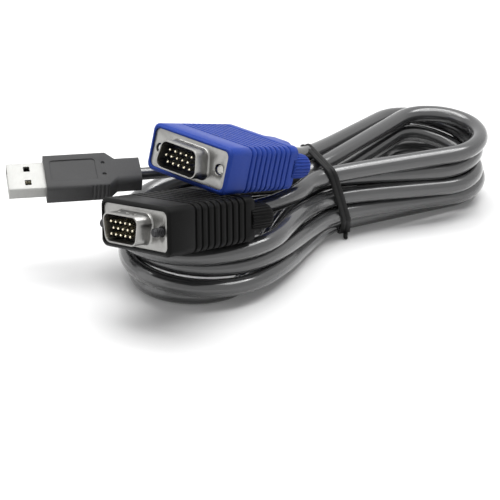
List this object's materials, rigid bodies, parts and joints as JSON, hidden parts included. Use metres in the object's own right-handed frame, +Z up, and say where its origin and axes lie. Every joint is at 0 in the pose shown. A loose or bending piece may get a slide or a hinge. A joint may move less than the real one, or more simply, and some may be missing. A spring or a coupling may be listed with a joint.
{
  "type": "kvm cable",
  "caption": "Hank of black cable held by a twist tie, with ribbed blue and black video plugs that have captive thumbscrews, and a USB plug, for a keyboard, video and mouse switch.",
  "frame": {"origin": "on the floor under the middle of the tied cable's bounding box", "axes": "+Z up from the floor that the hank lies on; the picture looks along +Y with +X to the right"},
  "size_m": [0.1659, 0.1292, 0.0542],
  "materials": {
    "blue_plastic": "satin moulded PVC",
    "black_plastic": "satin moulded PVC",
    "plated_shell": "dull nickel plate",
    "insulator": "moulded insulator",
    "gold_contacts": "gold flash",
    "screw_steel": "plated screw",
    "screw_black": "blackened screw",
    "usb_steel": "bright plate",
    "cable_jacket": "glossy PVC jacket",
    "tie_plastic": "plastic-coated tie wire"
  },
  "bodies": {
    "cable": {"black_hood": "black_plastic", "black_front_shell": "plated_shell", "black_rear_shell": "plated_shell", "black_insulator": "insulator", "black_pins": "gold_contacts", "blue_hood": "blue_plastic", "blue_front_shell": "plated_shell", "blue_rear_shell": "plated_shell", "blue_insulator": "insulator", "blue_pins": "gold_contacts", "usb_hood": "black_plastic", "usb_shell": "usb_steel", "usb_tongue": "insulator", "usb_contacts": "gold_contacts", "cable_hank": "cable_jacket", "black_lead": "cable_jacket", "blue_lead": "cable_jacket", "usb_lead": "cable_jacket", "twist_tie": "tie_plastic"},
    "black_thumbscrew_left": {"black_knob_left": "black_plastic", "black_jackscrew_left": "screw_black"},
    "black_thumbscrew_right": {"black_knob_right": "black_plastic", "black_jackscrew_right": "screw_black"},
    "blue_thumbscrew_left": {"blue_knob_left": "blue_plastic", "blue_jackscrew_left": "screw_steel"},
    "blue_thumbscrew_right": {"blue_knob_right": "blue_plastic", "blue_jackscrew_right": "screw_steel"}
  },
  "joints": [
    {"name": "black_thumbscrew_left_turn", "type": "hinge", "parent": "cable", "child": "black_thumbscrew_left", "pos_m": [-0.01723, -0.01693, 0.02378], "axis": [0.7348, 0.6478, -0.2011], "continuous": true},
    {"name": "black_thumbscrew_right_turn", "type": "hinge", "parent": "cable", "child": "black_thumbscrew_right", "pos_m": [-0.00028, -0.03459, 0.02883], "axis": [0.7348, 0.6478, -0.2011], "continuous": true},
    {"name": "blue_thumbscrew_left_turn", "type": "hinge", "parent": "cable", "child": "blue_thumbscrew_left", "pos_m": [0.01259, -0.00834, 0.03431], "axis": [0.6193, 0.7225, -0.3074], "continuous": true},
    {"name": "blue_thumbscrew_right_turn", "type": "hinge", "parent": "cable", "child": "blue_thumbscrew_right", "pos_m": [-0.00626, 0.00807, 0.03489], "axis": [0.6193, 0.7225, -0.3074], "continuous": true}
  ]
}
